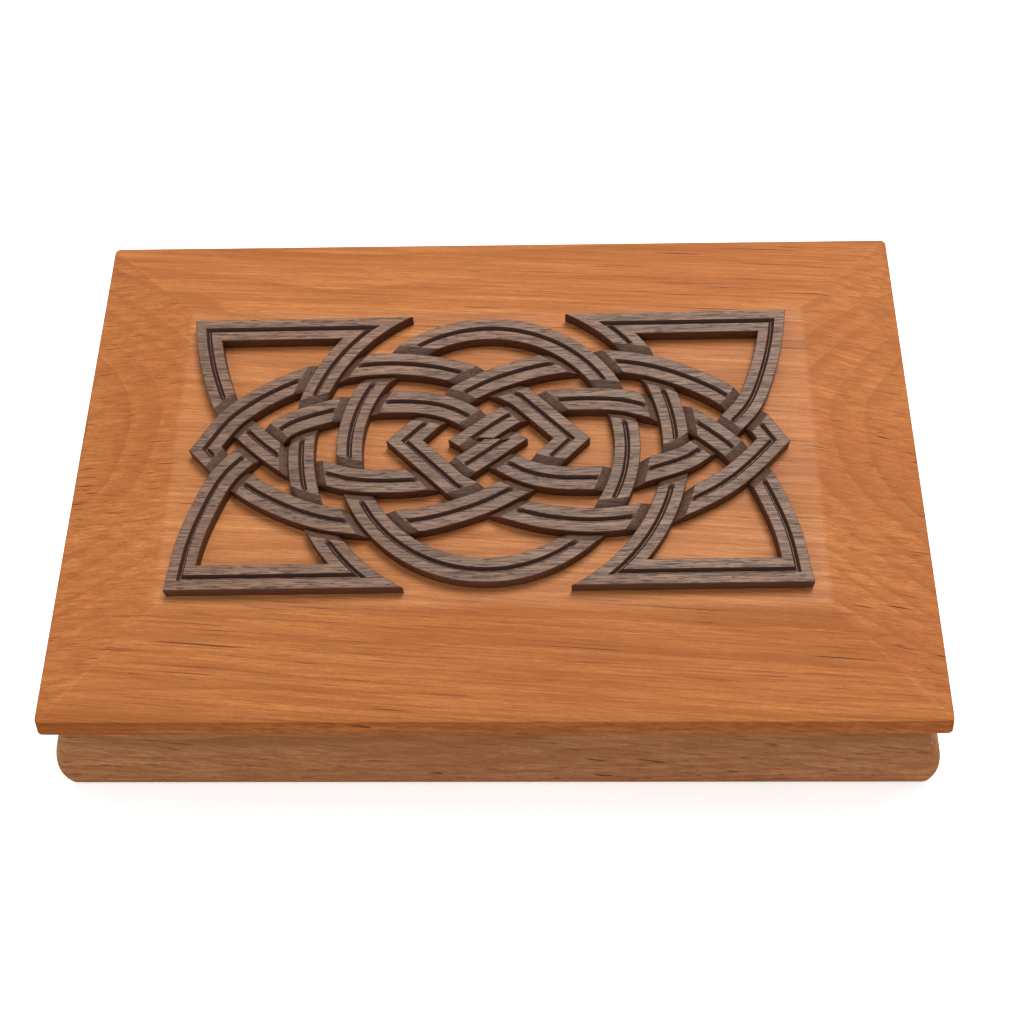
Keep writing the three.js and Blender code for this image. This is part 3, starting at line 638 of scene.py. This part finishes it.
def crossings_of(loops):
    """Every place where two bands cross, or a band crosses itself."""
    found = []
    for i, first in enumerate(loops):
        a, sa = first.path()
        b = np.roll(a, -1, axis=0)
        for j in range(i, len(loops)):
            c, sc = loops[j].path()
            d = np.roll(c, -1, axis=0)
            cross, s, t, hits = hits_between(a, b, c, d, 1e-6)
            for m, n in hits:
                if i == j and (n <= m + 1 or (m == 0 and n == len(c) - 1)):
                    continue
                lu, lv = np.hypot(*(b[m] - a[m])), np.hypot(*(d[n] - c[n]))
                found.append({"sine": abs(cross[m, n]) / (lu * lv), "ends": [
                    {"loop": i, "at": sa[m] + s[m, n] * lu},
                    {"loop": j, "at": sc[n] + t[m, n] * lv}]})
    return found


def weave(loops, crossings):
    """Over and under alternate along every band. The ring starts under its first crossing."""
    passes = []
    for i in range(len(loops)):
        ends = [(end["at"], crossing, end) for crossing in crossings
                for end in crossing["ends"] if end["loop"] == i]
        passes.append(sorted(ends, key=lambda e: e[0]))
    passes[0][0][2]["over"] = False
    waiting, done = [0], set()
    while waiting:
        i = waiting.pop()
        if i in done:
            continue
        done.add(i)
        known = next(k for k, e in enumerate(passes[i]) if "over" in e[2])
        for k, (at, crossing, end) in enumerate(passes[i]):
            end["over"] = passes[i][known][2]["over"] ^ bool((k - known) % 2)
            other = next(e for e in crossing["ends"] if e is not end)
            if "over" not in other:
                other["over"] = not end["over"]
            waiting.append(other["loop"])
    return passes


def distance_to(points, path):
    """Signed distance of points from a path, positive on its left."""
    a, b = path[:-1][None], path[1:][None]
    p = points[:, None]
    ab = b - a
    t = np.clip(((p - a) * ab).sum(-1) / (ab ** 2).sum(-1), 0, 1)
    gap = p - a - t[..., None] * ab
    size = np.hypot(gap[..., 0], gap[..., 1])
    k = size.argmin(1)
    rows = np.arange(len(points))
    side = ab[0, k, 0] * gap[rows, k, 1] - ab[0, k, 1] * gap[rows, k, 0]
    return size[rows, k] * np.sign(side)


# Across the band: how far sideways, and how far below the top. The middle is a V groove.
GROOVE = 0.72
SECTION = [(-HALF, None), (-HALF, 0.3), (-HALF + 0.06, 0.1), (-HALF + 0.2, 0.0),
           (-1.9, 0.0), (-GROOVE, 0.0), (-0.62, 0.14), (-0.08, 1.05), (0.08, 1.05),
           (0.62, 0.14), (GROOVE, 0.0), (1.9, 0.0), (HALF - 0.2, 0.0), (HALF - 0.06, 0.1),
           (HALF, 0.3), (HALF, None)]
# Distances from the neighbour's centreline at which the band's end has its stations.
LEVELS = [0.35, HALF - 0.3, HALF + RAMP * 0.35, HALF + RAMP * 0.7, HALF + RAMP - 0.1,
          HALF + RAMP + 0.15, HALF + RAMP + 0.5, HALF + RAMP + 0.9]


def smoothstep(x):
    x = np.clip(x, 0, 1)
    return x * x * (3 - 2 * x)


def neighbour(loops, loop, end, near):
    """The band that crosses at an end of a stretch.

    Gives its line, the side of it that the stretch lies on, and the sine of the crossing.
    """
    sine = end[1]["sine"]
    other = next(e for e in end[1]["ends"] if e is not end[2])
    reach = HALF / sine + 9
    path = loops[other["loop"]].centre(other["at"] - reach, other["at"] + reach)
    side = np.sign(distance_to(loop.at(near)[None], path)[0]) or 1.0
    return path, side, sine


def overhang(sine):
    """How far a band's end runs past the middle of a crossing, to lie under the other band."""
    return HALF * math.sqrt(max(0, 1 / sine ** 2 - 1)) + TUCK


def first_reach(s, d):
    """Lengths at which the distance first passes each level, going away from a crossing."""
    start = int(np.argmin(np.abs(d)))
    rising = np.r_[np.full(start, d[start]), np.maximum.accumulate(d[start:])]
    s, d = s[start:], rising[start:] + np.arange(len(d) - start) * 1e-9
    return [float(np.interp(level, d, s)) for level in LEVELS], rising


def steps_from(line, s, crossed):
    """Where a line that starts at a neighbour passes each level, and its distance from it."""
    path, side, sine = crossed
    d = distance_to(line, path) * side
    upto = s < overhang(sine) * 2 + HALF / sine + RAMP + 6
    levels, rising = first_reach(s[upto], d[upto])
    return levels, np.interp(s, s[upto], rising)


def section_line(line, first, last):
    """A line of the section from corner to corner, with its neighbours at either end if any.

    Gives its points, the lengths up to them, the lengths of the stations at its head and its
    tail, and each point's distance from the neighbours.
    """
    line = even(line, TRACE)
    s = walked(line)
    head, tail, far = [], [], np.full(len(s), 99.0)
    if first:
        head, distance = steps_from(line, s, first)
        far = np.minimum(far, distance)
    if last:
        tail, distance = steps_from(line[::-1], s[-1] - s[::-1], last)
        tail = [s[-1] - v for v in tail][::-1]
        far = np.minimum(far, distance[::-1])
    return line, s, head, tail, far


def stations_of(rows, k):
    """The lengths of the stations on each of the section's lines, in its k-th stretch."""
    spans = []
    for row in rows:
        line, s, head, tail, far = row[k]
        low = head[-1] if head else 0.0
        high = tail[0] if tail else s[-1]
        if low > high:  # two steps that meet on a very short piece
            middle = (low + high) / 2
            head = [min(v, middle) for v in head]
            tail = [max(v, middle) for v in tail]
            low = high = middle
        spans.append((low, high, head, tail))
    longest = max(high - low for low, high, head, tail in spans)
    count = max(2, round(longest / STATION) + 1)
    stations = [head[:-1] + list(np.linspace(low, high, count)) + tail[1:]
                for low, high, head, tail in spans]
    return [at[1:] if k else at for at in stations]


def heights(reach):
    """The band's surface at every station, from its distance to the neighbours."""
    slope = np.clip((reach - HALF + 0.3) / (RAMP + 0.2), 0, 1)
    top = LOW + (THICK - LOW) * slope
    groove = smoothstep((reach - HALF - RAMP + 0.1) / 0.9)
    z = np.zeros(reach.shape)
    for j, (shift, depth) in enumerate(SECTION):
        if depth is not None:
            z[j] = top[j] - (depth * groove[j] if abs(shift) < GROOVE else depth)
    return z


def band_piece(loops, before, here, after, number):
    """One stretch of band, from under one neighbour, over another, to under the next."""
    loop = loops[here[2]["loop"]]
    start = before[0] if before[0] < here[0] else before[0] - loop.total
    stop = after[0] if after[0] > here[0] else after[0] + loop.total
    first = neighbour(loops, loop, before, start + 2.0)
    last = neighbour(loops, loop, after, stop - 2.0)
    rows = []
    for shift, depth in SECTION:
        lines = loop.side(start - overhang(first[2]), stop + overhang(last[2]), shift)
        end = len(lines) - 1
        rows.append([section_line(line, first if k == 0 else None, last if k == end else None)
                     for k, line in enumerate(lines)])

    places = [stations_of(rows, k) for k in range(len(rows[0]))]
    grid, reach = [], []    # by line of the section, then by station
    for j, row in enumerate(rows):
        stretches = [(line, s, far, at[j])
                     for (line, s, head, tail, far), at in zip(row, places)]
        grid.append(np.vstack([
            np.stack([np.interp(at, s, line[:, i]) for i in (0, 1)], 1)
            for line, s, far, at in stretches]))
        reach.append(np.concatenate([np.interp(at, s, far) for line, s, far, at in stretches]))
    grid, z = np.array(grid), heights(np.array(reach))

    across, along = z.shape
    points = [(*grid[j, i], z[j, i]) for i in range(along) for j in range(across)]
    faces = []
    for i in range(along - 1):
        for j in range(across):
            k = (j + 1) % across
            a, b = i * across, (i + 1) * across
            faces.append([a + j, b + j, b + k, a + k])
    faces.append(list(range(across)))
    faces.append([(along - 1) * across + j for j in range(across)][::-1])
    return add_mesh(f"band_{number}", points, faces)


def knot_carving():
    frames, almonds = frame_branches(), almond_branches()
    loops = [Loop(ring_branches()), Loop(frames), Loop(frames, True), Loop(almonds),
             Loop(almonds, True)]
    crossings = crossings_of(loops)
    passes = weave(loops, crossings)
    pieces = []
    for ends in passes:
        for k, here in enumerate(ends):
            if here[2]["over"]:
                before, after = ends[k - 1], ends[(k + 1) % len(ends)]
                pieces.append(band_piece(loops, before, here, after, len(pieces)))
    others = bpy.data.collections.new("bands")
    for piece in pieces[1:]:
        others.objects.link(piece)
    bpy.context.scene.collection.children.link(others)
    knot = boolean(pieces[0], others, "UNION")
    drop(*pieces[1:])
    bpy.data.collections.remove(others)
    knot.name = knot.data.name = "knot_carving"
    low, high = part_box("knot_overlay")
    knot.data.transform(Matrix.Translation((KNOT_X * MM, KNOT_Y * MM, low.z))
                        @ Matrix.Rotation(math.radians(KNOT_TURN), 4, "Z"))
    shade(knot, 28)
    dress(knot, "walnut")
    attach(knot, "lid")
    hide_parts("knot_overlay")


# ---------------------------------------------------------------- pieces kept from the CAD
def dress_nodes():
    for entry in frame["record"]["subparts"]:
        node = frame["nodes"][entry["node"]]
        look = LOOKS[entry["material_slot"]]
        for slot in node.material_slots:
            slot.material = look
        if not node.material_slots:
            node.data.materials.append(look)


# ---------------------------------------------------------------- camera, floor and lights
def camera():
    data = bpy.data.cameras.new("camera")
    data.lens, data.sensor_width = CAMERA_LENS, CAMERA_FILM
    data.clip_start, data.clip_end = 0.01, 20
    obj = bpy.data.objects.new("camera", data)
    bpy.context.scene.collection.objects.link(obj)
    down, yaw, roll = (math.radians(v) for v in (CAMERA_DOWN, CAMERA_YAW, CAMERA_ROLL))
    level = Vector((math.sin(yaw), math.cos(yaw), 0))
    right = Vector((math.cos(yaw), -math.sin(yaw), 0))
    ahead = math.cos(down) * level - math.sin(down) * Vector((0, 0, 1))
    below = -math.sin(down) * level - math.cos(down) * Vector((0, 0, 1))
    across = math.cos(roll) * right + math.sin(roll) * below
    fall = -math.sin(roll) * right + math.cos(roll) * below
    turn = Matrix((across, -fall, -ahead)).transposed()
    place = Vector(CAMERA_PLACE) * MM
    obj.matrix_world = Matrix.Translation(place) @ turn.to_4x4()
    bpy.context.scene.camera = obj


def floor():
    half = FLOOR_HALF
    corners = [(-half, -half, 0), (half, -half, 0), (half, half, 0), (-half, half, 0)]
    mesh = bpy.data.meshes.new("floor")
    mesh.from_pydata(corners, [], [[0, 1, 2, 3]])
    obj = bpy.data.objects.new("floor", mesh)
    bpy.context.scene.collection.objects.link(obj)
    g = Graph("floor")
    cloud = g.noise((0.004, 0.004, 0.004), 2, 0.5)
    color = g.mix(cloud, srgb(247, 247, 247), srgb(250, 250, 250))
    obj.data.materials.append(g.finish(
        color, 0.85, Specular_IOR_Level=0.1, Emission_Color=color, Emission_Strength=0.4))


def area_light(name, place, target, size, power):
    data = bpy.data.lights.new(name, "AREA")
    data.shape, data.size, data.energy = "DISK", size, power
    obj = bpy.data.objects.new(name, data)
    bpy.context.scene.collection.objects.link(obj)
    obj.location = place
    aim = Vector(target) - Vector(place)
    obj.rotation_euler = aim.to_track_quat("-Z", "Y").to_euler()


def lights():
    world = bpy.data.worlds.new("studio")
    world.use_nodes = True
    background = world.node_tree.nodes["Background"]
    background.inputs[0].default_value = (1, 0.99, 0.98, 1)
    background.inputs[1].default_value = 0.74
    bpy.context.scene.world = world
    area_light("key", (0.3, 0.62, 1.33), (0, 0, 0.02), 0.75, 25)
    area_light("fill", (-0.7, -0.5, 1.0), (0, 0, 0.02), 1.0, 3)
    bpy.context.scene.view_settings.view_transform = "Standard"


camera()
floor()
lights()
dress_nodes()
lid_board()
base_block()
knot_carving()
